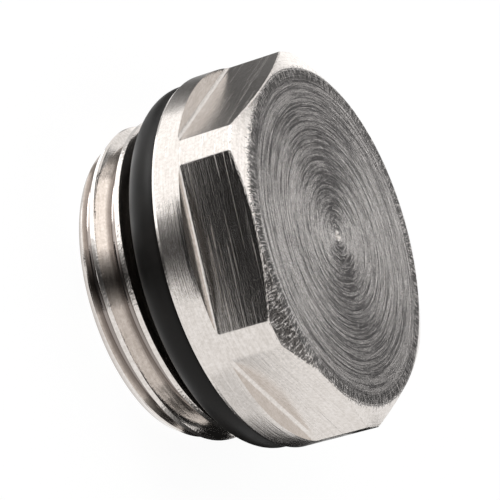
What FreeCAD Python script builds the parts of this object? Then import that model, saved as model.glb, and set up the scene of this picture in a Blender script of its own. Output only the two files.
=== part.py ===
import FreeCAD, Part
import math
import os
import Sketcher

# A radiator end plug: a plug turned and milled from round brass bar, hollow behind, and the rubber
# ring that seals it. Lengths are in millimetres and angles in degrees.
# The origin is the middle of the seal face, the flange's rear rim. +Z runs out through the hexagon
# head, the thread points down, and +X is square to one of the six flats.

# Driving dimensions, each with its meaning.
SIZES = [
    # pipe thread of nominal size one half, Whitworth form
    ("thread_diameter", 20.955, "over the crests"),
    ("thread_pitch", 1.814, "fourteen threads in 25.4"),
    ("thread_depth_share", 0.6403, "crest to root, as a share of the pitch"),
    ("thread_root_share", 0.152, "width of the groove's floor, as a share of the pitch"),
    ("flank_angle", 27.5, "half of the thread's included angle"),
    ("thread_clocking", 98, "turns the groove's start about the axis"),
    ("thread_length", 6.85, "seal face to the threaded end"),
    ("lead_in_depth", 0.92, "how far the end face's edge lies under the crests"),
    ("lead_in_angle", 30, "lead-in taper, from the axis"),
    # neck that carries the ring, between thread and flange
    ("neck_relief", 0.016, "how far the neck lies under the thread's root"),
    ("neck_room", 0.28, "neck left between the ring and the first thread"),
    # sealing ring and its seat in the flange
    ("ring_cord", 2.5, "thickness of the rubber"),
    ("ring_gap", 0.02, "clearance to the neck and to the seat"),
    ("ring_play", 0.08, "clearance to the seat's outer wall"),
    ("seat_depth", 0.2, "recess for the ring in the flange"),
    ("rim_land", 0.2, "rim that the seat needs round it, before its edge is broken"),
    ("rim_break", 0.08, "bevel on the rim's edge"),
    # hexagon head, milled into the round of the flange
    ("head_height", 6.06, "seal face to the front face"),
    ("across_flats", 21.8, "for a 22 mm spanner"),
    ("corner_rise", 1.2, "how far the round corners stand out over the flats"),
    ("flange_height", 1.74, "seal face to the foot of the flats"),
    ("shoulder_angle", 15, "fall of the crescent shoulders, outwards"),
    ("cutter_radius", 0.5, "fillet between flat and shoulder"),
    ("face_inset", 0.1, "how far the front face's circle lies inside the flats"),
    ("chamfer_angle", 25, "front chamfer, from the front face"),
    ("centre_mark_diameter", 0.7, "dimple left at the middle of the front face"),
    ("centre_mark_depth", 0.15, "depth of that dimple"),
    # blind bore from the threaded end
    ("thread_wall", 1.8, "metal left between the thread's root and the bore"),
    ("face_wall", 3.4, "metal left between bore and front face"),
    ("bore_corner", 0.8, "bevel left round the bore's floor by the tool's corner"),
    ("bore_chamfer", 0.5, "mouth of the bore"),
]

# Sizes that follow from the driving ones.
CREST_RADIUS = "sizes.thread_diameter / 2"
THREAD_DEPTH = "(sizes.thread_pitch * sizes.thread_depth_share)"
ROOT_RADIUS = f"({CREST_RADIUS} - {THREAD_DEPTH})"
NECK_RADIUS = f"({ROOT_RADIUS} - sizes.neck_relief)"
RING_RADIUS = f"({NECK_RADIUS} + sizes.ring_gap + sizes.ring_cord / 2)"
RING_MIDDLE = "(sizes.seat_depth - sizes.ring_gap - sizes.ring_cord / 2)"
NECK_LENGTH = f"(sizes.ring_cord / 2 - {RING_MIDDLE} + sizes.neck_room)"
SEAT_RADIUS = f"({RING_RADIUS} + sizes.ring_cord / 2 + sizes.ring_play)"
FLAT_RADIUS = "sizes.across_flats / 2"
HEAD_RADIUS = f"max({SEAT_RADIUS} + sizes.rim_land; {FLAT_RADIUS} + sizes.corner_rise)"
FACE_RADIUS = f"({FLAT_RADIUS} - sizes.face_inset)"
END_RADIUS = f"({CREST_RADIUS} - sizes.lead_in_depth)"
BORE_RADIUS = f"({ROOT_RADIUS} - sizes.thread_wall)"
MARK_RADIUS = "sizes.centre_mark_diameter / 2"
LEAD_IN_TOP = "(-sizes.thread_length + sizes.lead_in_depth / tan(sizes.lead_in_angle))"
CHAMFER_FOOT = f"(sizes.head_height - ({HEAD_RADIUS} - {FACE_RADIUS}) * tan(sizes.chamfer_angle))"
BORE_FLOOR = "(sizes.head_height - sizes.face_wall)"

# Room by which a cutting profile overruns the metal.
OVERRUN = 1.0
GROOVE_OVERRUN = 0.02

# How a sketch numbers its own two axes, and the ends of a line or an arc.
ACROSS_AXIS, UP_AXIS = -1, -2
START, END = 1, 2


def make_sheet(doc):
    """Spreadsheet with one row for each driving dimension."""
    sheet = doc.addObject("Spreadsheet::Sheet", "sizes")
    for row, (name, value, meaning) in enumerate(SIZES, start=1):
        sheet.set(f"A{row}", name)
        sheet.set(f"B{row}", str(value))
        sheet.set(f"C{row}", meaning)
        sheet.setAlias(f"B{row}", name)
    doc.recompute()
    return sheet


def origin_feature(body, role):
    """One of the body's own origin planes or axes."""
    return next(item for item in body.Origin.OriginFeatures if item.Role == role)


def axial_sketch(body, name):
    """Sketch in the plane of X and Z: across is a radius, up is along the plug's axis."""
    sketch = body.newObject("Sketcher::SketchObject", name)
    sketch.AttachmentSupport = (origin_feature(body, "XZ_Plane"), [""])
    sketch.MapMode = "FlatFace"
    return sketch


def hold_distance(sketch, kind, line, end, expression):
    """Bind one end of a line to an expression, measured along one axis from the sketch's origin."""
    distance = sketch.evalExpression(expression)
    rule = Sketcher.Constraint(kind, ACROSS_AXIS, START, line, end, distance)
    index = sketch.addConstraint(rule)
    sketch.setExpression(f"Constraints[{index}]", expression)


def pin_point(sketch, line, end, across, up):
    """Hold one end of a line at two expressions, or on an axis where one of them is 0."""
    if across == "0":
        sketch.addConstraint(Sketcher.Constraint("PointOnObject", line, end, UP_AXIS))
    else:
        hold_distance(sketch, "DistanceX", line, end, across)
    if up == "0":
        sketch.addConstraint(Sketcher.Constraint("PointOnObject", line, end, ACROSS_AXIS))
    else:
        hold_distance(sketch, "DistanceY", line, end, up)


def draw_outline(sketch, corners):
    """Closed outline of straight lines through corners, each given as two expressions."""
    places = []
    for across, up in corners:
        places.append(FreeCAD.Vector(sketch.evalExpression(across), sketch.evalExpression(up), 0))
    for index, place in enumerate(places):
        sketch.addGeometry(Part.LineSegment(place, places[(index + 1) % len(places)]))
    for index in range(len(places)):
        following = (index + 1) % len(places)
        sketch.addConstraint(Sketcher.Constraint("Coincident", index, END, following, START))
    for index, (across, up) in enumerate(corners):
        pin_point(sketch, index, START, across, up)


def turn_blank(body):
    """The round plug as it leaves the lathe: thread blank, neck, ring seat, flange and chamfered head."""
    sketch = axial_sketch(body, "blank_outline")
    draw_outline(sketch, [
        ("0", "-sizes.thread_length"),
        (END_RADIUS, "-sizes.thread_length"),
        (CREST_RADIUS, LEAD_IN_TOP),
        (CREST_RADIUS, f"-{NECK_LENGTH}"),
        (NECK_RADIUS, f"-{NECK_LENGTH}"),
        (NECK_RADIUS, "sizes.seat_depth"),
        (SEAT_RADIUS, "sizes.seat_depth"),
        (SEAT_RADIUS, "0"),
        (f"{HEAD_RADIUS} - sizes.rim_break", "0"),
        (HEAD_RADIUS, "sizes.rim_break"),
        (HEAD_RADIUS, CHAMFER_FOOT),
        (FACE_RADIUS, "sizes.head_height"),
        (MARK_RADIUS, "sizes.head_height"),
        ("0", "sizes.head_height - sizes.centre_mark_depth"),
    ])
    blank = body.newObject("PartDesign::Revolution", "blank")
    blank.Profile = sketch
    blank.ReferenceAxis = (sketch, ["V_Axis"])
    blank.Angle = 360
    return blank


def bore_out(body):
    """Blind bore from the threaded end, with a bevelled floor and a chamfered mouth."""
    sketch = axial_sketch(body, "bore_outline")
    mouth = f"(-sizes.thread_length - {OVERRUN})"
    draw_outline(sketch, [
        ("0", mouth),
        (f"{BORE_RADIUS} + sizes.bore_chamfer + {OVERRUN}", mouth),
        (BORE_RADIUS, "-sizes.thread_length + sizes.bore_chamfer"),
        (BORE_RADIUS, f"{BORE_FLOOR} - sizes.bore_corner"),
        (f"{BORE_RADIUS} - sizes.bore_corner", BORE_FLOOR),
        ("0", BORE_FLOOR),
    ])
    bore = body.newObject("PartDesign::Groove", "bore")
    bore.Profile = sketch
    bore.ReferenceAxis = (sketch, ["V_Axis"])
    bore.Angle = 360
    return bore


def mill_flats(body):
    """One flat, cut straight across by a cutter with a rounded corner, then six of them round the head."""
    sketch = axial_sketch(body, "flat_outline")
    outside = f"({HEAD_RADIUS} + {OVERRUN})"
    above = f"(sizes.head_height + {OVERRUN})"
    fall = f"(({outside} - {FLAT_RADIUS}) * tan(sizes.shoulder_angle))"
    flat = sketch.evalExpression(FLAT_RADIUS)
    foot = sketch.evalExpression("sizes.flange_height")
    wide = sketch.evalExpression(outside)
    top = sketch.evalExpression(above)
    low = foot - sketch.evalExpression(fall)
    radius = sketch.evalExpression("sizes.cutter_radius")
    flat_line, shoulder_line, outer_line, top_line = sketch.addGeometry([
        Part.LineSegment(FreeCAD.Vector(flat, top, 0), FreeCAD.Vector(flat, foot + radius, 0)),
        Part.LineSegment(FreeCAD.Vector(flat + radius, foot, 0), FreeCAD.Vector(wide, low, 0)),
        Part.LineSegment(FreeCAD.Vector(wide, low, 0), FreeCAD.Vector(wide, top, 0)),
        Part.LineSegment(FreeCAD.Vector(wide, top, 0), FreeCAD.Vector(flat, top, 0)),
    ])
    bend = Part.Circle(FreeCAD.Vector(flat + radius, foot + radius, 0), FreeCAD.Vector(0, 0, 1), radius)
    fillet = sketch.addGeometry(Part.ArcOfCircle(bend, math.pi, 1.5 * math.pi))
    corner = sketch.addGeometry(Part.Point(FreeCAD.Vector(flat, foot, 0)), True)
    sketch.addConstraint([
        Sketcher.Constraint("Tangent", flat_line, END, fillet, START),
        Sketcher.Constraint("Tangent", shoulder_line, START, fillet, END),
        Sketcher.Constraint("Coincident", shoulder_line, END, outer_line, START),
        Sketcher.Constraint("Coincident", outer_line, END, top_line, START),
        Sketcher.Constraint("Coincident", top_line, END, flat_line, START),
        Sketcher.Constraint("Vertical", flat_line),
        Sketcher.Constraint("Vertical", outer_line),
        Sketcher.Constraint("PointOnObject", corner, START, shoulder_line),
    ])
    pin_point(sketch, corner, START, FLAT_RADIUS, "sizes.flange_height")
    pin_point(sketch, top_line, END, FLAT_RADIUS, above)
    pin_point(sketch, top_line, START, outside, above)
    bend_rule = sketch.addConstraint(Sketcher.Constraint("Radius", fillet, radius))
    sketch.setExpression(f"Constraints[{bend_rule}]", "sizes.cutter_radius")
    slope = Sketcher.Constraint("DistanceY", shoulder_line, END, corner, START, foot - low)
    slope_rule = sketch.addConstraint(slope)
    sketch.setExpression(f"Constraints[{slope_rule}]", fall)
    cut = body.newObject("PartDesign::Pocket", "flat")
    cut.Profile = sketch
    cut.Type = "ThroughAll"
    cut.Midplane = True
    flats = body.newObject("PartDesign::PolarPattern", "flats")
    flats.Originals = [cut]
    flats.Axis = (origin_feature(body, "Z_Axis"), [""])
    flats.Angle = 360
    flats.Occurrences = 6
    body.Tip = flats
    return flats


def cut_thread(body):
    """Right-handed groove of trapezoid section, wound from below the end face up into the neck."""
    sketch = axial_sketch(body, "thread_groove")
    middle = "(-sizes.thread_length - (1 + sizes.thread_clocking / 360) * sizes.thread_pitch)"
    outer = f"({CREST_RADIUS} + {GROOVE_OVERRUN})"
    floor = "(sizes.thread_pitch * sizes.thread_root_share / 2)"
    mouth = f"({floor} + ({THREAD_DEPTH} + {GROOVE_OVERRUN}) * tan(sizes.flank_angle))"
    draw_outline(sketch, [
        (ROOT_RADIUS, f"{middle} - {floor}"),
        (outer, f"{middle} - {mouth}"),
        (outer, f"{middle} + {mouth}"),
        (ROOT_RADIUS, f"{middle} + {floor}"),
    ])
    thread = body.newObject("PartDesign::SubtractiveHelix", "thread")
    thread.Profile = sketch
    thread.ReferenceAxis = (sketch, ["V_Axis"])
    thread.Mode = "pitch-height-angle"
    thread.Angle = 0
    thread.LeftHanded = False
    thread.setExpression("Pitch", "sizes.thread_pitch")
    thread.setExpression("Height", f"-{NECK_LENGTH} / 2 - {middle}")
    return thread


def make_plug(doc):
    """The metal plug, one piece: turned, bored, milled and threaded."""
    body = doc.addObject("PartDesign::Body", "plug_body")
    body.Label = "plug_body"
    volume = None
    for step in (turn_blank, bore_out, mill_flats, cut_thread):
        feature = step(body)
        doc.recompute()
        if volume is not None and feature.Shape.Volume >= volume:
            raise RuntimeError(f"{feature.Name} cut nothing")
        volume = feature.Shape.Volume
        print(f"{feature.Name}: {volume:.1f} mm3, {len(feature.Shape.Faces)} faces")
    return body


def make_ring(doc):
    """The rubber ring, lying in its seat round the neck."""
    ring = doc.addObject("Part::Torus", "o_ring")
    ring.Label = "o_ring"
    ring.setExpression("Radius1", RING_RADIUS)
    ring.setExpression("Radius2", "sizes.ring_cord / 2")
    ring.setExpression("Placement.Base.z", RING_MIDDLE)
    return ring


def check_document(doc, pieces):
    """Stop before anything is written if an object failed or a shape is unsound."""
    for item in doc.Objects:
        if {"Invalid", "Error"} & set(item.State):
            raise RuntimeError(f"{item.Name} failed: {item.State}")
    for piece in pieces:
        if piece.Shape.isNull() or not piece.Shape.isValid() or len(piece.Shape.Solids) != 1:
            raise RuntimeError(f"{piece.Label} is not one sound solid")


def main():
    doc = FreeCAD.newDocument("radiator_end_plug")
    make_sheet(doc)
    pieces = [make_plug(doc), make_ring(doc)]
    doc.recompute()
    check_document(doc, pieces)
    os.makedirs("parts", exist_ok=True)
    for piece in pieces:
        piece.Shape.exportStep(f"parts/{piece.Label}.step")
        print(f"{piece.Label}: {piece.Shape.Volume:.1f} mm3, {piece.Shape.BoundBox}")


main()
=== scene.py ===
# %% [markdown]
# # A radiator end plug, turned, milled and threaded
#
# The object is a plug that closes one end of a radiator. It is one piece of nickel-plated brass:
# a hexagon head for a spanner, a round flange, a pipe thread, and a blind hole behind to save
# metal. A black rubber ring lies under the flange and seals it.
#
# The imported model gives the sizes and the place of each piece. This script dresses it: it makes
# finer surfaces with the lathe's, the mill's and the die's marks, then sets up the picture.

# %% Load the frame
import math
import bpy
from mathutils import Matrix, Vector
from types import SimpleNamespace


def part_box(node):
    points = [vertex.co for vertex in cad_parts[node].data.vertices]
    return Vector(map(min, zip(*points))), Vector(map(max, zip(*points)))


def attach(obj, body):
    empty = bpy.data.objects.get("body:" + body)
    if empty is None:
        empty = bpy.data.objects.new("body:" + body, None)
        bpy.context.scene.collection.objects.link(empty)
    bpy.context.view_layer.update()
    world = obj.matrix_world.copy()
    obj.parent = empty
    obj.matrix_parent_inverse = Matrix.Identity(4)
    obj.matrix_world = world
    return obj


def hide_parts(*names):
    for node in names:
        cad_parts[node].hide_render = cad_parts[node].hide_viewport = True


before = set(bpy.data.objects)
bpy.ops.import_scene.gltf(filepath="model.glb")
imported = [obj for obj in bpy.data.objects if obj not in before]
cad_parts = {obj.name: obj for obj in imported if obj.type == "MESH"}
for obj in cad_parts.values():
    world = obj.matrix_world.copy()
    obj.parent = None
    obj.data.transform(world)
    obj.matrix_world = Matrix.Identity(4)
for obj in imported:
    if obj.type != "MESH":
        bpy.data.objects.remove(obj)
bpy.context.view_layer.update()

# %% [markdown]
# ## Sizes
#
# A maker's drawing gives a few driving sizes, and the rest follows. Heights are measured from the
# seal face, the flange's rear rim, which is the origin. The overall sizes are read from the frame.

# %% Driving sizes
MM = 0.001

plug_low, plug_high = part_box("plug_body")
HEAD_TOP = plug_high.z
THREADED_END = plug_low.z
FLANGE_RADIUS = max(plug_high.x, plug_high.y)

FLAT_DISTANCE = 21.8 * MM / 2
FACE_RADIUS = FLAT_DISTANCE - 0.1 * MM
CHAMFER_SLOPE = math.radians(25)
FLAT_FOOT = 1.84 * MM
FOOT_SPREAD = 0.14 * MM
FOOT_STEP = 2.18
FOOT_START = -1.83
CUTTER_RADIUS = 0.25 * MM
EDGE_ROUNDING = 0.07 * MM
CORNER_SOFTNESS = 0.06 * MM
CENTRE_MARK_RADIUS = 0.35 * MM
CENTRE_MARK_DEPTH = 0.15 * MM
RIM_BREAK = 0.08 * MM
RIM_TAPER = 0.2 * MM
SEAT_DEPTH = 0.2 * MM

THREAD_PITCH = 1.814 * MM
CREST_RADIUS = 20.955 * MM / 2
ROOT_RADIUS = CREST_RADIUS - 0.6403 * THREAD_PITCH
GROOVE_FLOOR = 0.152 * THREAD_PITCH
FLANK_ANGLE = math.radians(27.5)
THREAD_CLOCKING = 98 / 360
THREAD_TURNS = 4
LEAD_IN_ANGLE = math.radians(30)
END_RADIUS = CREST_RADIUS - 0.92 * MM
NECK_RADIUS = ROOT_RADIUS - 0.016 * MM
BORE_RADIUS = ROOT_RADIUS - 1.8 * MM
BORE_FLOOR = HEAD_TOP - 3.4 * MM
BORE_CHAMFER = 0.5 * MM
BORE_CORNER = 0.8 * MM

ring_low, ring_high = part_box("o_ring")
CORD_RADIUS = (ring_high.z - ring_low.z) / 2
RING_MIDDLE = (ring_high.z + ring_low.z) / 2
RING_RADIUS = ring_high.x - CORD_RADIUS
SEAT_RADIUS = ring_high.x + 0.08 * MM
NECK_END = ring_low.z - 0.28 * MM

# How fine the nicks are in burred edges and in the thread's crests, in cells for each radian.
BURR_CELLS = 100
TORN_CELLS = 90
print("flange radius", round(FLANGE_RADIUS / MM, 3), "ring radius", round(RING_RADIUS / MM, 3))

# %% [markdown]
# ## A formula made of nodes
#
# Geometry Nodes works out one value for every vertex, and each sum or product is a Math node. A
# chain of them is slow to read, so this class lets the rules below be written as plain sums: every
# operation on a Flow adds the node that does it.


# %% A value that flows through nodes
class Flow:
    """A value worked out at every point. Sums and products of Flows add Math nodes to their tree."""

    def __init__(self, tree, socket):
        self.tree = tree
        self.socket = socket

    def math(self, operation, *others, clamp=False):
        node = self.tree.nodes.new("ShaderNodeMath")
        node.operation = operation
        node.use_clamp = clamp
        for slot, value in zip(node.inputs, (self, *others)):
            plug_in(self.tree, value, slot)
        return Flow(self.tree, node.outputs[0])

    def __add__(self, other):
        return self.math("ADD", other)

    def __sub__(self, other):
        return self.math("SUBTRACT", other)

    def __mul__(self, other):
        return self.math("MULTIPLY", other)

    def __truediv__(self, other):
        return self.math("DIVIDE", other)

    def __rsub__(self, other):
        return (self * -1).math("ADD", other)

    __radd__ = __add__
    __rmul__ = __mul__


def plug_in(tree, value, slot):
    """Connect a Flow to a node's input, or write a plain value into it."""
    if isinstance(value, Flow):
        tree.links.new(value.socket, slot)
    else:
        slot.default_value = value


def between(flow, low, high, start=0.0, end=1.0):
    """How far a flow has come from low to high, held at both ends."""
    node = flow.tree.nodes.new("ShaderNodeMapRange")
    for label, value in (("Value", flow), ("From Min", low), ("From Max", high),
                         ("To Min", start), ("To Max", end)):
        plug_in(flow.tree, value, node.inputs[label])
    return Flow(flow.tree, node.outputs["Result"])


def blend(first, second, share):
    """The first value where share is 0, the second where it is 1."""
    return first + (second - first) * share


# %% [markdown]
# ## Trees with named sizes
#
# A tree is built like a machine with dials: each size has a named input. It then runs on an empty
# object, and its result is kept as a plain mesh, so nothing live is left on the finished piece.


# %% Build a tree and run it
def new_tree(name, sizes):
    """A Geometry Nodes tree with a named input for each size. Returns it and the inputs as Flows."""
    tree = bpy.data.node_groups.new(name, "GeometryNodeTree")
    for label, value in sizes.items():
        socket = tree.interface.new_socket(label, in_out="INPUT", socket_type="NodeSocketFloat")
        socket.default_value = value
    tree.interface.new_socket("Geometry", in_out="OUTPUT", socket_type="NodeSocketGeometry")
    inputs = tree.nodes.new("NodeGroupInput")
    return tree, {label: Flow(tree, inputs.outputs[label]) for label in sizes}


def add_node(tree, kind, settings=None, **inputs):
    """Add a node, set its properties, and fill its inputs by name."""
    node = tree.nodes.new(kind)
    for key, value in (settings or {}).items():
        setattr(node, key, value)
    for label, value in inputs.items():
        plug_in(tree, value, node.inputs[label.replace("_", " ")])
    return node


def finish_tree(tree, geometry, material, sharp_angle):
    """Merge seams and poles, keep edges sharp past an angle, give the material, end the tree."""
    merged = add_node(tree, "GeometryNodeMergeByDistance", Distance=0.0001 * MM)
    tree.links.new(geometry, merged.inputs["Geometry"])
    angle = add_node(tree, "GeometryNodeInputMeshEdgeAngle")
    steep = Flow(tree, angle.outputs["Unsigned Angle"]).math("LESS_THAN", sharp_angle)
    smooth = add_node(tree, "GeometryNodeSetShadeSmooth", {"domain": "EDGE"})
    tree.links.new(merged.outputs["Geometry"], smooth.inputs["Geometry"])
    tree.links.new(steep.socket, smooth.inputs["Shade Smooth"])
    real = add_node(tree, "GeometryNodeRealizeInstances")
    tree.links.new(smooth.outputs["Geometry"], real.inputs["Geometry"])
    paint = add_node(tree, "GeometryNodeSetMaterial", Material=material)
    tree.links.new(real.outputs["Geometry"], paint.inputs["Geometry"])
    output = tree.nodes.new("NodeGroupOutput")
    tree.links.new(paint.outputs["Geometry"], output.inputs["Geometry"])


def run_tree(tree, sizes, name):
    """Run a tree with these sizes and return its result as a plain mesh object."""
    carrier = bpy.data.objects.new(name + "_carrier", bpy.data.meshes.new(name + "_carrier"))
    bpy.context.scene.collection.objects.link(carrier)
    modifier = carrier.modifiers.new("tree", "NODES")
    modifier.node_group = tree
    for item in tree.interface.items_tree:
        if item.in_out == "INPUT":
            modifier[item.identifier] = sizes[item.name]
    graph = bpy.context.evaluated_depsgraph_get()
    mesh = bpy.data.meshes.new_from_object(carrier.evaluated_get(graph))
    carrier.modifiers.remove(modifier)
    bpy.data.objects.remove(carrier)
    mesh.name = name
    piece = bpy.data.objects.new(name, mesh)
    bpy.context.scene.collection.objects.link(piece)
    mesh.calc_loop_triangles()
    print(name, "has", len(mesh.loop_triangles), "triangles")
    return piece


# %% [markdown]
# ## The metal
#
# Nickel plate shines, but the tool marks under it break the shine up. The lathe leaves rings on the
# front face and round every turned surface. The mill leaves straight streaks along each flat and
# each crescent shoulder. Noise that is stretched along the marks draws them, so first each point
# needs a place across the marks and a place along them.


# %% Shader helpers
def new_material(name):
    """A material with an empty node tree but for its Principled shader and its output."""
    material = bpy.data.materials.new(name)
    material.use_nodes = True
    tree = material.node_tree
    tree.nodes.clear()
    shader = tree.nodes.new("ShaderNodeBsdfPrincipled")
    output = tree.nodes.new("ShaderNodeOutputMaterial")
    tree.links.new(shader.outputs["BSDF"], output.inputs["Surface"])
    return material, tree, shader


def object_place(tree):
    """The place of a shaded point on the object, as three Flows, and its distance from the axis."""
    coordinates = add_node(tree, "ShaderNodeTexCoord")
    split = add_node(tree, "ShaderNodeSeparateXYZ")
    tree.links.new(coordinates.outputs["Object"], split.inputs["Vector"])
    x, y, z = (Flow(tree, split.outputs[axis]) for axis in "XYZ")
    radius = (x * x + y * y).math("SQRT") + 1e-6
    return x, y, z, radius


def upward(tree):
    """How far a surface faces along the axis: 1 on the front face, 0 on flats and cylinders."""
    normal = add_node(tree, "ShaderNodeNewGeometry")
    split = add_node(tree, "ShaderNodeSeparateXYZ")
    tree.links.new(normal.outputs["True Normal"], split.inputs["Vector"])
    return Flow(tree, split.outputs["Z"])


def noise(tree, place, detail=2.0, roughness=0.5):
    """Soft random values from 0 to 1 over three coordinates given as Flows, one cell a unit."""
    joined = add_node(tree, "ShaderNodeCombineXYZ", X=place[0], Y=place[1], Z=place[2])
    texture = add_node(tree, "ShaderNodeTexNoise", Scale=1.0, Detail=detail, Roughness=roughness)
    tree.links.new(joined.outputs["Vector"], texture.inputs["Vector"])
    return Flow(tree, texture.outputs[0])


def direction(azimuth, elevation=0):
    """Unit vector towards an azimuth and an elevation in degrees, azimuth from +X to +Y."""
    a, e = math.radians(azimuth), math.radians(elevation)
    return Vector((math.cos(e) * math.cos(a), math.cos(e) * math.sin(a), math.sin(e)))


def mix_colours(tree, share, first, second):
    """The first colour where share is 0, the second where it is 1. A colour may come from a node."""
    mix = tree.nodes.new("ShaderNodeMix")
    mix.data_type = "RGBA"
    colours = [slot for slot in mix.inputs if slot.type == "RGBA"]
    for slot, colour in zip(colours, (first, second)):
        if isinstance(colour, tuple):
            slot.default_value = (*colour, 1.0)
        else:
            tree.links.new(colour, slot)
    plug_in(tree, share, mix.inputs["Factor"])
    return next(slot for slot in mix.outputs if slot.type == "RGBA")


# %% Colours and places of the marks
LIGHT_NICKEL = (0.78, 0.735, 0.70)
DARK_NICKEL = (0.65, 0.605, 0.565)
BRIGHT_RIDGE = (0.95, 0.90, 0.87)
DEEP_MARK = (0.13, 0.12, 0.118)
BLACKENED = (0.05, 0.045, 0.042)
# Painted shade for the bottom of the thread's groove.
SHADED_ROOT = (0.30, 0.265, 0.245)
RIM_BAND = 0.8 * MM
STRUCK_SIDE = direction(-96)
# Painted sheen: the face's rings are lighter towards this side and its opposite, and darker across.
PAINTED_SHEEN_SIDE = direction(55)

# %% [markdown]
# Each part of the plug has marks of its own, so masks tell the parts apart. A mask is 1 on its part
# and 0 elsewhere, and it follows from the height, the slope and the distance from the axis.


# %% Masks for the parts of the plug
def plug_masks(tree, place):
    """The masks, and how far a point lies across the marks of its part."""
    x, y, z, radius = place
    up = upward(tree)
    from_middle = y.math("ARCTAN2", x).math("PINGPONG", math.radians(30))
    flat_distance = radius * from_middle.math("COSINE")
    high = z.math("GREATER_THAN", HEAD_TOP - 0.7 * MM) * up.math("GREATER_THAN", 0.8)
    face = high * up.math("GREATER_THAN", 0.97)
    shoulder = up.math("GREATER_THAN", 0.3) * z.math("LESS_THAN", FLAT_FOOT + 0.5 * MM)
    shoulder = shoulder * z.math("GREATER_THAN", 0.5 * MM)
    flat = z.math("GREATER_THAN", FLAT_FOOT) * (1 - high)
    flat = flat * flat_distance.math("LESS_THAN", FLAT_DISTANCE + 0.03 * MM)
    threaded = z.math("LESS_THAN", NECK_END)
    across = blend(blend(z, radius, high), flat_distance, shoulder)
    return SimpleNamespace(high=high, face=face, flat=flat, threaded=threaded), across


# %% [markdown]
# Four noises draw the marks: fine and medium streaks, grit, and a few long scratches. Along the rim of
# the face, and over its edge, the deburring brush leaves a dark, hairy band. On one side the burr was
# rolled over the edge and broke off, and left the chamfer dark, rough and pitted.


# %% Tool marks
def tool_marks(tree, place, across):
    """The noises of the lathe, the mill and use."""
    x, y, _, radius = place

    def streaks(width, length, **how):
        turn = 11 * MM / length
        return noise(tree, (x / radius * turn, y / radius * turn, across / width), **how)

    return SimpleNamespace(
        fine=streaks(width=0.085 * MM, length=1.5 * MM, detail=2.0),
        medium=streaks(width=0.14 * MM, length=7.0 * MM, detail=2.0, roughness=0.7),
        grit=grains(tree, place, 0.07 * MM, detail=1.0),
        scratches=between(streaks(width=0.08 * MM, length=8.0 * MM, detail=1.0), 0.66, 0.71),
    )


def grains(tree, place, size, **how):
    """Grains of this size, the same in all directions."""
    return noise(tree, tuple(value / size for value in place[:3]), **how)


def rim_marks(tree, place, on):
    """The hairs of the rim's band, the band itself, and the pits on its struck side."""
    x, y, _, radius = place
    round_x, round_y = x / radius, y / radius
    hair = noise(tree, (round_x * 100, round_y * 100, radius / (0.5 * MM)), detail=1.0) - 0.5
    band_start = FACE_RADIUS - RIM_BAND
    band = between(radius + hair * (0.9 * MM), band_start, band_start + 0.3 * MM)
    struck = between(round_x * STRUCK_SIDE.x + round_y * STRUCK_SIDE.y, 0.9, 0.99)
    band_end = struck * (1.2 * MM) + FACE_RADIUS
    ragged = radius + hair * (1.2 * MM)
    band = band * between(ragged, band_end + 0.12 * MM, band_end) * on.high
    pits = between(grains(tree, place, 0.11 * MM, detail=2.0), 0.42, 0.56) * band * (on.high - on.face)
    return SimpleNamespace(hair=hair, band=band, pits=pits)


# %% [markdown]
# The rings on the face carry a painted sheen: darker in two fans and lighter beside them, as turned rings
# throw the light to both sides. Painted shade darkens the metal towards the bottom of the thread's
# groove.


# %% Colours of the metal
def nickel_colour(tree, place, on, marks, rim):
    """The metal's colour: plain parts, ringed face with painted sheen, hairy rim, pits and painted shade
    in the thread root.
    """
    x, y, _, radius = place
    cloud = grains(tree, place, 0.2 * MM, detail=3.0)
    tone = between(cloud * 0.6 + marks.fine * 0.4 - marks.scratches * 0.1, 0.38, 0.62)
    plain = mix_colours(tree, tone, LIGHT_NICKEL, DARK_NICKEL)

    # Painted sheen: the rings are lighter or darker by their angle round the axis, as a turned face
    # throws the light.
    painted_sheen = (x * PAINTED_SHEEN_SIDE.x + y * PAINTED_SHEEN_SIDE.y) / radius
    painted_sheen = (painted_sheen * painted_sheen - 0.5) * between(radius, 1.0 * MM, FACE_RADIUS, 0.10, 0.02)
    tone = marks.medium * 0.55 + marks.fine * 0.15 + marks.grit * 0.3 - marks.scratches * 0.06 - painted_sheen
    ringed = mix_colours(tree, between(tone, 0.43, 0.57), BRIGHT_RIDGE, DEEP_MARK)
    colour = mix_colours(tree, on.face, plain, ringed)

    hairy = mix_colours(tree, between(rim.hair, -0.16, 0.02), BRIGHT_RIDGE, BLACKENED)
    colour = mix_colours(tree, rim.band * 0.8, colour, hairy)
    colour = mix_colours(tree, rim.pits * 0.8, colour, BLACKENED)

    # Painted shade: the metal darkens towards the bottom of the thread's groove.
    root = between(radius, ROOT_RADIUS + 0.45 * MM, ROOT_RADIUS + 0.05 * MM) * on.threaded
    root = root * radius.math("GREATER_THAN", ROOT_RADIUS - 0.1 * MM)
    return mix_colours(tree, root, colour, SHADED_ROOT)


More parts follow.
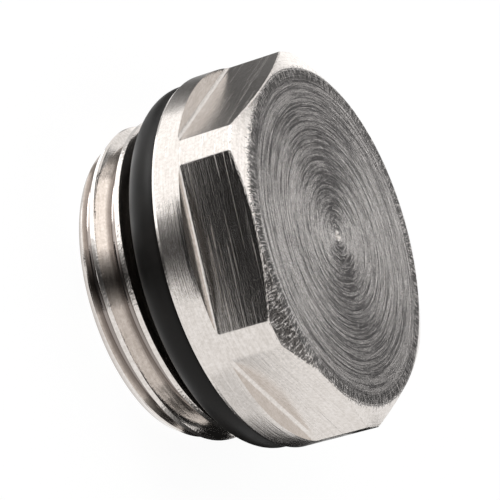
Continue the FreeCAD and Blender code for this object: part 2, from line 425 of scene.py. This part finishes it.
# %% The metal itself
def nickel_plate():
    """Plated metal whose marks run round the axis, in rings on the front face."""
    material, tree, shader = new_material("nickel_plate")
    place = object_place(tree)
    on, across = plug_masks(tree, place)
    marks = tool_marks(tree, place, across)
    rim = rim_marks(tree, place, on)
    tree.links.new(nickel_colour(tree, place, on, marks, rim), shader.inputs["Base Color"])

    streaks = marks.fine * 0.8 + blend(0.35, 0.8, on.face) * marks.medium
    rough_ground = streaks + blend(0.4, 0.8, on.flat) * marks.grit
    scored = marks.scratches * blend(0.002 * MM, 0.006 * MM, on.flat)
    depth = blend(0.008 * MM, 0.02 * MM, on.face)
    height = rough_ground * depth + scored - rim.pits * (0.012 * MM)
    bump = add_node(tree, "ShaderNodeBump", Strength=1.0, Distance=1.0, Height=height)
    tree.links.new(bump.outputs["Normal"], shader.inputs["Normal"])

    rough = between(marks.medium + marks.grit * 0.3, 0.4, 0.9, 0.12, 0.22)
    rough = rough + on.face * 0.1 - on.threaded * 0.07
    tree.links.new(rough.socket, shader.inputs["Roughness"])
    shader.inputs["Metallic"].default_value = 1.0
    return material


NICKEL = nickel_plate()
print("nickel plate has", len(NICKEL.node_tree.nodes), "nodes")

# %% [markdown]
# ## The rubber
#
# The ring is moulded, so it has no grain of its own, only a dull shine and faint clouds. Rubber
# mirrors little, so its specular level is low, and it stays black where the white floor shines.

# %% Black rubber
DEEP_RUBBER = (0.006, 0.0055, 0.005)
WORN_RUBBER = (0.012, 0.0105, 0.0095)


def black_rubber():
    """Moulded rubber: nearly black, satin, with faint cloudy patches."""
    material, tree, shader = new_material("black_rubber")
    place = object_place(tree)
    cloud = grains(tree, place, 1.5 * MM, detail=3.0)
    grain = grains(tree, place, 0.05 * MM, detail=1.0)
    colour = mix_colours(tree, between(cloud, 0.3, 0.7), DEEP_RUBBER, WORN_RUBBER)
    tree.links.new(colour, shader.inputs["Base Color"])
    rough = between(cloud, 0.3, 0.7, 0.36, 0.48)
    tree.links.new(rough.socket, shader.inputs["Roughness"])
    bump = add_node(tree, "ShaderNodeBump", Strength=1.0, Distance=0.002 * MM, Height=grain)
    tree.links.new(bump.outputs["Normal"], shader.inputs["Normal"])
    shader.inputs["Specular IOR Level"].default_value = 0.2
    return material


RUBBER = black_rubber()
print("black rubber has", len(RUBBER.node_tree.nodes), "nodes")

# %% [markdown]
# ## The plug's surface as a rule
#
# The plug could be cut from a cylinder with booleans, but their faces shade badly and their edges
# are hard to round. Instead one sheet of vertices is wrapped round the axis: the rows run down the
# outline, from the middle of the front face to the middle of the bore's floor, and the spokes run
# round it. A rule says where each row lies at each angle, so the flats, the crescent shoulders and
# the helix all get rows of vertices that run exactly along their edges.
#
# The spokes are closer together at the edges of the flats.

# %% Rows and spokes
EDGE_ANGLE = math.degrees(math.acos(FLAT_DISTANCE / FLANGE_RADIUS))
EDGE_BAND = 0.7
SECTOR_STRETCHES = [
    (7, 30 - EDGE_ANGLE - EDGE_BAND),
    (5, 2 * EDGE_BAND),
    (80, 2 * (EDGE_ANGLE - EDGE_BAND)),
    (5, 2 * EDGE_BAND),
    (7, 30 - EDGE_ANGLE - EDGE_BAND),
]
SPOKES_PER_SECTOR = sum(count for count, angle in SECTOR_STRETCHES)
SPOKES = 6 * SPOKES_PER_SECTOR
TURN_STRETCHES = [(2, 0.076), (7, 0.3333), (4, 0.1814), (7, 0.3333), (2, 0.076)]
ROWS_PER_TURN = sum(count for count, share in TURN_STRETCHES)
print(SPOKES, "spokes,", ROWS_PER_TURN, "rows for each turn of the thread")


def walk(step, stretches, start):
    """Where a step has come to, when it walks along stretches given as (steps, length)."""
    place = start
    passed = 0
    for count, length in stretches:
        place = between(step, passed, passed + count, 0.0, length) + place
        passed += count
    return place


def bend(t, first, corner, last):
    """A curve from first to last that leans on the corner between them, for a rounded edge."""
    keep = (1 - t) * (1 - t)
    give = t * t
    return tuple((a - b) * keep + (c - b) * give + b for a, b, c in zip(first, corner, last))


def run(t, first, last):
    """A straight way from first to last."""
    return tuple(t * (b - a) + a for a, b in zip(first, last))


def straight(count, ragged, first, last):
    """A stretch of the outline, its rows, its flag and its rule, that runs straight."""
    return count, ragged, lambda t: run(t, first, last)


# %% [markdown]
# The outline is a list of stretches. Each has a number of rows, a flag for a ragged edge, and a rule
# that turns the way along it, t from 0 to 1, into a radius and a height. Some rules also read the
# angle round the axis.
#
# The mill was set anew for each flat, so each flat ends at a depth of its own. A sine of the flat's
# number gives it: its step and start were chosen so that the three flats in the photo end where they
# do there. The cutter leaves a small fillet and, behind the flat, a level shoulder.


# %% The head
def head_stretches(size, angle_in_sector, sector):
    """Front face, chamfer, flat, fillet and crescent shoulder at one angle round the axis."""
    flat_foot = (sector * FOOT_STEP + FOOT_START).math("SINE") * FOOT_SPREAD + size["Flat foot"]
    cosine = angle_in_sector.math("COSINE")
    side = (size["Flat distance"] / cosine).math("SMOOTH_MIN", size["Flange radius"], CORNER_SOFTNESS)
    slope = math.tan(CHAMFER_SLOPE)
    foot = size["Head top"] - (side - size["Face radius"]) * slope
    out = EDGE_ROUNDING * math.cos(CHAMFER_SLOPE)
    down = EDGE_ROUNDING * math.sin(CHAMFER_SLOPE)
    face_edge = (size["Face radius"], size["Head top"])
    after_edge = (size["Face radius"] + out, size["Head top"] - down)
    before_foot = (side - out, foot + down)
    after_foot = (side, foot - EDGE_ROUNDING)

    fillet_x = size["Flat distance"] + CUTTER_RADIUS
    fillet_z = flat_foot + CUTTER_RADIUS
    reach = (size["Flange radius"] * cosine).math("MAXIMUM", size["Flat distance"])

    def mill_cut(t):
        """The fillet and the shoulder, from the flat out to where the flange ends."""
        x = blend(size["Flat distance"], reach, t * t)
        inside = (fillet_x - x) * (fillet_x - x)
        arc = fillet_z - (CUTTER_RADIUS ** 2 - inside).math("MAXIMUM", 0.0).math("SQRT")
        height = blend(arc, flat_foot, x.math("GREATER_THAN", fillet_x))
        return (x / cosine).math("SMOOTH_MIN", size["Flange radius"], CORNER_SOFTNESS), height

    mark_edge = (CENTRE_MARK_RADIUS, size["Head top"])
    before_edge = (size["Face radius"] - EDGE_ROUNDING, size["Head top"])
    return [
        (5, 0, lambda t: (t * CENTRE_MARK_RADIUS, size["Head top"] - (1 - t) * CENTRE_MARK_DEPTH)),
        straight(12, 0, mark_edge, before_edge),
        (3, 1, lambda t: bend(t, before_edge, face_edge, after_edge)),
        straight(5, 0, after_edge, before_foot),
        (3, 1, lambda t: bend(t, before_foot, (side, foot), after_foot)),
        straight(7, 0, after_foot, (side, fillet_z)),
        (22, 0, mill_cut),
    ], mill_cut


# %% The flange, the thread and the bore
def flange_stretches(size, cut_height):
    """The flange's rim from where the mill left it, the ring's seat and the neck."""
    flange = size["Flange radius"]
    return [
        straight(6, 0, (flange, cut_height), (flange, RIM_TAPER)),
        straight(3, 1, (flange, RIM_TAPER), (flange - RIM_BREAK, 0.0)),
        straight(1, 0, (flange - RIM_BREAK, 0.0), (SEAT_RADIUS, 0.0)),
        straight(1, 0, (SEAT_RADIUS, 0.0), (SEAT_RADIUS, SEAT_DEPTH)),
        straight(1, 0, (SEAT_RADIUS, SEAT_DEPTH), (NECK_RADIUS, SEAT_DEPTH)),
        straight(2, 0, (NECK_RADIUS, SEAT_DEPTH), (NECK_RADIUS, NECK_END)),
    ]


def thread_rule(size, turn, torn):
    """The rule for rows that climb with the helix, held between the neck and the end face."""
    pitch = size["Thread pitch"]
    groove = THREADED_END - (1 + THREAD_CLOCKING) * pitch

    def threaded(t):
        row = t * (THREAD_TURNS * ROWS_PER_TURN)
        whole = (row / ROWS_PER_TURN + 0.0001).math("FLOOR")
        share = walk(row - whole * ROWS_PER_TURN, TURN_STRETCHES, 0.0)
        height = groove + (turn + THREAD_TURNS - whole - share) * pitch
        height = height.math("MINIMUM", NECK_END).math("MAXIMUM", THREADED_END)
        phase = (height - groove) / pitch - turn
        off_middle = phase.math("PINGPONG", 0.5) * pitch
        flank = (off_middle - GROOVE_FLOOR / 2) / math.tan(FLANK_ANGLE) + ROOT_RADIUS
        radius = flank.math("SMOOTH_MAX", ROOT_RADIUS, 0.25 * MM)
        radius = radius.math("SMOOTH_MIN", size["Crest radius"] - torn, 0.05 * MM)
        lead_in = (height - THREADED_END) * math.tan(LEAD_IN_ANGLE) + END_RADIUS
        return radius.math("SMOOTH_MIN", lead_in, 0.03 * MM), height

    return threaded


def bore_stretches(end_edge):
    """The end face, the bore's chamfered mouth, its wall and its floor."""
    mouth = (BORE_RADIUS + BORE_CHAMFER, THREADED_END)
    inside = (BORE_RADIUS, THREADED_END + BORE_CHAMFER)
    wall_end = (BORE_RADIUS, BORE_FLOOR - BORE_CORNER)
    floor_edge = (BORE_RADIUS - BORE_CORNER, BORE_FLOOR)
    return [
        straight(2, 0, end_edge, mouth),
        straight(1, 0, mouth, inside),
        straight(4, 0, inside, wall_end),
        straight(2, 0, wall_end, floor_edge),
        straight(3, 0, floor_edge, (0.0, BORE_FLOOR)),
    ]


# %% [markdown]
# The tree starts with a flat grid. Each vertex reads its row and its spoke from its place there, the
# stretch that its row lies on gives its radius and height, and the vertex is moved to them. Where a
# stretch is ragged, noise takes small nicks out of the edge, as a burr that broke off leaves them.


# %% The whole plug as one tree
def place_on_grid(tree):
    """A vertex's row from the middle of the grid, its sector, its angle there and its turn."""
    position = add_node(tree, "GeometryNodeInputPosition")
    split = add_node(tree, "ShaderNodeSeparateXYZ")
    tree.links.new(position.outputs["Position"], split.inputs["Vector"])
    spoke = Flow(tree, split.outputs["Y"]) + SPOKES / 2
    sector = (spoke / SPOKES_PER_SECTOR + 0.0001).math("FLOOR").math("MINIMUM", 5.0)
    step = spoke - sector * SPOKES_PER_SECTOR
    degrees_in_sector = walk(step, SECTOR_STRETCHES, -30.0)
    turn = (sector * 60 + degrees_in_sector) / 360
    return Flow(tree, split.outputs["X"]), sector, degrees_in_sector * math.radians(1), turn


def follow(stretches, row, nick):
    """The radius and height of each row, from the stretch that the row lies on."""
    passed = 0
    radius, height = None, None
    for count, ragged, rule in stretches:
        t = between(row, passed, passed + count)
        here = rule(t)
        if ragged:
            middle = t * (1 - t) * 4
            here = (here[0] - nick * middle, here[1] - nick * middle)
        if radius is None:
            radius, height = here
        else:
            reached = row.math("GREATER_THAN", passed + 0.5)
            radius = blend(radius, here[0], reached)
            height = blend(height, here[1], reached)
        passed += count
    return radius, height


def plug_tree(sizes):
    """The grid, the stretches, and the move that wraps the grid round the axis."""
    tree, size = new_tree("plug_body", sizes)
    row_from_middle, sector, angle_in_sector, turn = place_on_grid(tree)
    way_round = turn * math.tau
    round_x, round_y = way_round.math("COSINE"), way_round.math("SINE")

    torn = noise(tree, (round_x * TORN_CELLS, round_y * TORN_CELLS, row_from_middle), detail=1.0)
    torn = between(torn, 0.4, 0.7) * size["Burr"] * 0.5
    threaded = thread_rule(size, turn, torn)
    stretches, mill_cut = head_stretches(size, angle_in_sector, sector)
    last_row = turn * 0 + 1
    stretches += flange_stretches(size, mill_cut(last_row)[1])
    stretches.append((THREAD_TURNS * ROWS_PER_TURN, 0, threaded))
    stretches += bore_stretches(threaded(last_row))

    rows = sum(count for count, ragged, rule in stretches)
    row = row_from_middle + rows / 2
    nick = noise(tree, (round_x * BURR_CELLS, round_y * BURR_CELLS, row * 0.7), detail=1.0)
    nick = between(nick, 0.35, 0.75) * size["Burr"]
    radius, height = follow(stretches, row, nick)

    grid = add_node(tree, "GeometryNodeMeshGrid", Size_X=float(rows), Size_Y=float(SPOKES),
                    Vertices_X=rows + 1, Vertices_Y=SPOKES + 1)
    place = add_node(tree, "ShaderNodeCombineXYZ", X=radius * round_x, Y=radius * round_y, Z=height)
    wrap = add_node(tree, "GeometryNodeSetPosition")
    tree.links.new(grid.outputs["Mesh"], wrap.inputs["Geometry"])
    tree.links.new(place.outputs["Vector"], wrap.inputs["Position"])
    finish_tree(tree, wrap.outputs["Geometry"], NICKEL, math.radians(28))
    print("plug tree:", rows, "rows,", len(tree.nodes), "nodes")
    return tree


PLUG_SIZES = {
    "Head top": HEAD_TOP,
    "Face radius": FACE_RADIUS,
    "Flat distance": FLAT_DISTANCE,
    "Flat foot": FLAT_FOOT,
    "Flange radius": FLANGE_RADIUS,
    "Thread pitch": THREAD_PITCH,
    "Crest radius": CREST_RADIUS,
    "Burr": 0.03 * MM,
}
plug = run_tree(plug_tree(PLUG_SIZES), PLUG_SIZES, "plug")
print("plug box, mm:", [round(v / MM, 3) for v in plug.dimensions])

# %% [markdown]
# ## The sealing ring
#
# The ring is a round cord bent into a circle. Two circles make it, one swept along the other.


# %% Sweep the ring
def ring_tree(sizes):
    tree, size = new_tree("o_ring", sizes)
    path = add_node(tree, "GeometryNodeCurvePrimitiveCircle", Resolution=360, Radius=size["Ring radius"])
    section = add_node(tree, "GeometryNodeCurvePrimitiveCircle", Resolution=48,
                       Radius=size["Cord radius"])
    sweep = add_node(tree, "GeometryNodeCurveToMesh")
    tree.links.new(path.outputs["Curve"], sweep.inputs["Curve"])
    tree.links.new(section.outputs["Curve"], sweep.inputs["Profile Curve"])
    lift = add_node(tree, "GeometryNodeTransform")
    tree.links.new(sweep.outputs["Mesh"], lift.inputs["Geometry"])
    lower = add_node(tree, "ShaderNodeCombineXYZ", Z=size["Middle height"])
    tree.links.new(lower.outputs["Vector"], lift.inputs["Translation"])
    finish_tree(tree, lift.outputs["Geometry"], RUBBER, math.radians(60))
    return tree


RING_SIZES = {
    "Ring radius": RING_RADIUS,
    "Cord radius": CORD_RADIUS,
    "Middle height": RING_MIDDLE,
}
ring = run_tree(ring_tree(RING_SIZES), RING_SIZES, "sealing_ring")
print("ring box, mm:", [round(v / MM, 3) for v in ring.dimensions])

# %% [markdown]
# ## Put the pieces on the frame

# %% Ride and replace
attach(plug, "root")
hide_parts("plug_body")
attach(ring, "root")
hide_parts("o_ring")

# %% [markdown]
# ## The studio
#
# Bare metal shows what stands round it. The floor and the sky are plain white. Bright cards stand
# for soft boxes and dark cards for the unlit sides of the room, as a photographer of metal sets
# them, and only mirrors see the cards.


# %% White surroundings
def empty_material(name):
    """A material with nothing but its output. Returns it, its tree and that last socket."""
    material = bpy.data.materials.new(name)
    material.use_nodes = True
    tree = material.node_tree
    tree.nodes.clear()
    output = add_node(tree, "ShaderNodeOutputMaterial")
    return material, tree, output.inputs["Surface"]


def seen_plainly(tree):
    """1 for a ray from the camera, and 1 for any ray that shows the background itself."""
    path = add_node(tree, "ShaderNodeLightPath")
    camera = Flow(tree, path.outputs["Is Camera Ray"])
    mirror = Flow(tree, path.outputs["Is Glossy Ray"])
    through = Flow(tree, path.outputs["Is Transmission Ray"])
    return camera, camera.math("MAXIMUM", mirror).math("MAXIMUM", through)


def white_world():
    world = bpy.data.worlds.new("white_studio")
    bpy.context.scene.world = world
    world.use_nodes = True
    tree = world.node_tree
    tree.nodes.clear()
    camera, plainly = seen_plainly(tree)
    background = add_node(tree, "ShaderNodeBackground", Color=(1.0, 1.0, 1.0, 1.0),
                          Strength=plainly * 0.5 + 0.5)
    output = add_node(tree, "ShaderNodeOutputWorld")
    tree.links.new(background.outputs["Background"], output.inputs["Surface"])


white_world()
print("world:", bpy.context.scene.world.name)


# %% Floor
FLOOR_REACH = 1.5
MATT_SHARE = 0.15
MAKE_UP = 0.09


def pale_floor():
    """White, with a little of it matt, so that the object's shadow shows.

    The matt share is a little darker than white, and the glow makes up for it.
    """
    material, tree, surface = empty_material("pale_floor")
    camera, plainly = seen_plainly(tree)
    glow = add_node(tree, "ShaderNodeEmission", Color=(1.0, 1.0, 1.0, 1.0), Strength=camera * MAKE_UP + 1)
    matt = add_node(tree, "ShaderNodeBsdfDiffuse", Color=(0.9, 0.9, 0.9, 1.0))
    mix = add_node(tree, "ShaderNodeMixShader", Fac=plainly - camera * MATT_SHARE)
    tree.links.new(matt.outputs["BSDF"], mix.inputs[1])
    tree.links.new(glow.outputs["Emission"], mix.inputs[2])
    tree.links.new(mix.outputs["Shader"], surface)
    return material


def stage_piece(name, points, faces, material):
    """A plain mesh that belongs to the studio."""
    mesh = bpy.data.meshes.new(name)
    mesh.from_pydata(points, [], faces)
    mesh.materials.append(material)
    piece = bpy.data.objects.new(name, mesh)
    bpy.context.scene.collection.objects.link(piece)
    return piece


FLOOR_CORNERS = [(-1, -1), (1, -1), (1, 1), (-1, 1)]
floor_points = [(i * FLOOR_REACH, j * FLOOR_REACH, THREADED_END) for i, j in FLOOR_CORNERS]
stage_piece("floor", floor_points, [(0, 1, 2, 3)], pale_floor())
print("floor at", round(THREADED_END / MM, 2), "mm")


# %% [markdown]
# A mirrored ray tells where a card has to stand: the camera's ray is turned at the metal and followed
# on. Rays from the flats, the flange and the thread end on the floor, so their cards lie there, at an
# azimuth and a radius. Rays from the face, the chamfer and the crescents end in the sky. Those cards
# are half a metre off, so that they show the same from anywhere on the plug. A card can pass into a
# second tone at its sides, which gives the soft end of a shadow on round metal.


# %% How a card is made
def card(name, azimuths, profile, tone, side_tone=None, power=2):
    """A card whose profile, a list of (radius, height), is swept round the axis.

    Its tone may pass into another tone towards both sides.
    """
    columns = 16
    first, last = azimuths
    material, tree, surface = empty_material(name)
    strength = tone
    if side_tone is not None:
        x, y, _, radius = object_place(tree)
        middle = direction((first + last) / 2)
        off_middle = ((x * middle.x + y * middle.y) / radius).math("ARCCOSINE")
        share = off_middle / math.radians((last - first) / 2)
        strength = blend(tone, side_tone, share.math("POWER", power))
    light = add_node(tree, "ShaderNodeEmission", Color=(1.0, 1.0, 1.0, 1.0), Strength=strength)
    tree.links.new(light.outputs["Emission"], surface)
    points, faces = [], []
    for i in range(columns + 1):
        along = direction(first + (last - first) * i / columns)
        points += [along * radius + Vector((0, 0, height)) for radius, height in profile]
    steps = len(profile)
    for i in range(columns):
        for j in range(steps - 1):
            corner = i * steps + j
            faces.append((corner, corner + 1, corner + steps + 1, corner + steps))
    piece = stage_piece(name, points, faces, material)
    piece.visible_camera = False
    piece.visible_diffuse = False
    piece.visible_shadow = False
    return piece


def on_floor(near, far, lift=0.1):
    """The profile of a card that lies on the floor between two radii, in millimetres."""
    level = THREADED_END + lift * MM
    return [(near * MM, level), (far * MM, level)]


def upright(radius, top):
    """The profile of a card that stands on the floor, its radius and top in millimetres."""
    return [(radius * MM, THREADED_END + 0.2 * MM), (radius * MM, top * MM)]


def in_sky(low, high):
    """The profile of a card that hangs far off between two elevations."""
    steps = 8
    distance = 500 * MM
    elevations = [math.radians(low + (high - low) * i / steps) for i in range(steps + 1)]
    return [(distance * math.cos(e), distance * math.sin(e)) for e in elevations]


# %% Bright and dark cards
SOFT_BOX = 1.4

# Bright, on the side of the upper left: flange, corner strips, thread and the chamfer's white part.
card("soft_box_floor", (155, 217), on_floor(18, 80), SOFT_BOX)
card("soft_box_near", (174, 222), on_floor(9.8, 18), 1.8)
card("soft_box_wall", (130, 203), in_sky(2, 48), SOFT_BOX)
card("soft_box_back", (99, 124), in_sky(49, 72), SOFT_BOX)
card("soft_box_far", (66, 100), on_floor(45, 150), SOFT_BOX)
card("soft_box_low", (78, 94), in_sky(-2, 14), SOFT_BOX)
card("grey_near", (146, 174), on_floor(9.8, 18), 0.7)

# Dark, in front: the left flat, its crescent, and the dark band on the flange and the thread.
card("dark_thread", (-135, -109), on_floor(9.8, 20), 0.04, 0.7)
card("dark_flange", (-143, -112), on_floor(20, 28), 0.08, 0.6)
card("dark_front", (-150, -104), on_floor(28, 400, lift=0.2), 0.015, 0.04, power=4)
card("dark_room", (-157, -110), in_sky(2, 42), 0.03)

# Dark, behind: the upper flat and the flange beside it.
card("dark_back_flange", (110, 160), on_floor(18, 25, lift=0.2), 0.15, 0.6)
card("dark_back", (110, 154), on_floor(25, 90), 0.11, 0.45)

# Dark, below: the lower end of the thread and of the flange.
card("dark_near", (-60, 26), on_floor(9.8, 16.5), 0.02, 0.57, power=4)
card("dark_between", (-48, 26), on_floor(16.5, 20), 0.01, 0.25, power=4)
card("dark_outer", (-38, 26), on_floor(20, 23.2), 0.01, 0.7, power=6)
card("dark_beside", (-37, 47), on_floor(23.2, 25.5), 0.07, 0.65)
card("grey_beside", (-66, -37), on_floor(23.2, 30), 0.72)
card("dark_wall", (-6, 18), upright(26, 12), 0.01)
card("dark_low_wall", (18, 40), upright(26, 0), 0.02)

# Grey, in the sky: the front face and the dark parts of the chamfer.
card("grey_face", (48, 86), in_sky(16, 37), 0.11)
card("dark_corner", (96, 113), in_sky(31, 40), 0.12)
card("grey_high", (8, 68), in_sky(61, 85), 0.03)


# %% Lamps
def area_lamp(name, azimuth, elevation, distance, size, power):
    lamp = bpy.data.lights.new(name, "AREA")
    lamp.shape = "DISK"
    lamp.size = size
    lamp.energy = power
    holder = bpy.data.objects.new(name, lamp)
    bpy.context.scene.collection.objects.link(holder)
    toward = direction(azimuth, elevation)
    holder.location = toward * distance
    holder.rotation_mode = "QUATERNION"
    holder.rotation_quaternion = toward.to_track_quat("Z", "Y")
    return holder


area_lamp("soft_side", 172, 14, 0.4, 0.2, 0.6)


# %% [markdown]
# ## The camera
#
# The photograph was matched by fitting a camera to the plug's edges: it stands 189 mm away with a
# long lens, and it is rolled so that the plug's axis points right and a little up.


# %% Camera
CAMERA_TARGET = Vector((-0.653, 0.243, -0.033)) * MM
CAMERA_SIDE = direction(-111.735, 26.114)
CAMERA_DISTANCE = 188.82 * MM
CAMERA_ROLL = math.radians(73.505)


def make_camera():
    camera = bpy.data.cameras.new("camera")
    camera.sensor_width = 36
    camera.lens = 216
    camera.clip_start = 0.01
    camera.clip_end = 10
    holder = bpy.data.objects.new("camera", camera)
    bpy.context.scene.collection.objects.link(holder)
    holder.location = CAMERA_TARGET + CAMERA_SIDE * CAMERA_DISTANCE
    level = CAMERA_SIDE.to_track_quat("Z", "Y")
    rolled = level.to_matrix() @ Matrix.Rotation(CAMERA_ROLL, 3, "Z")
    holder.rotation_mode = "QUATERNION"
    holder.rotation_quaternion = rolled.to_quaternion()
    bpy.context.scene.camera = holder
    print("camera at", [round(v / MM, 1) for v in holder.location])


make_camera()
bpy.context.scene.view_settings.view_transform = "Standard"
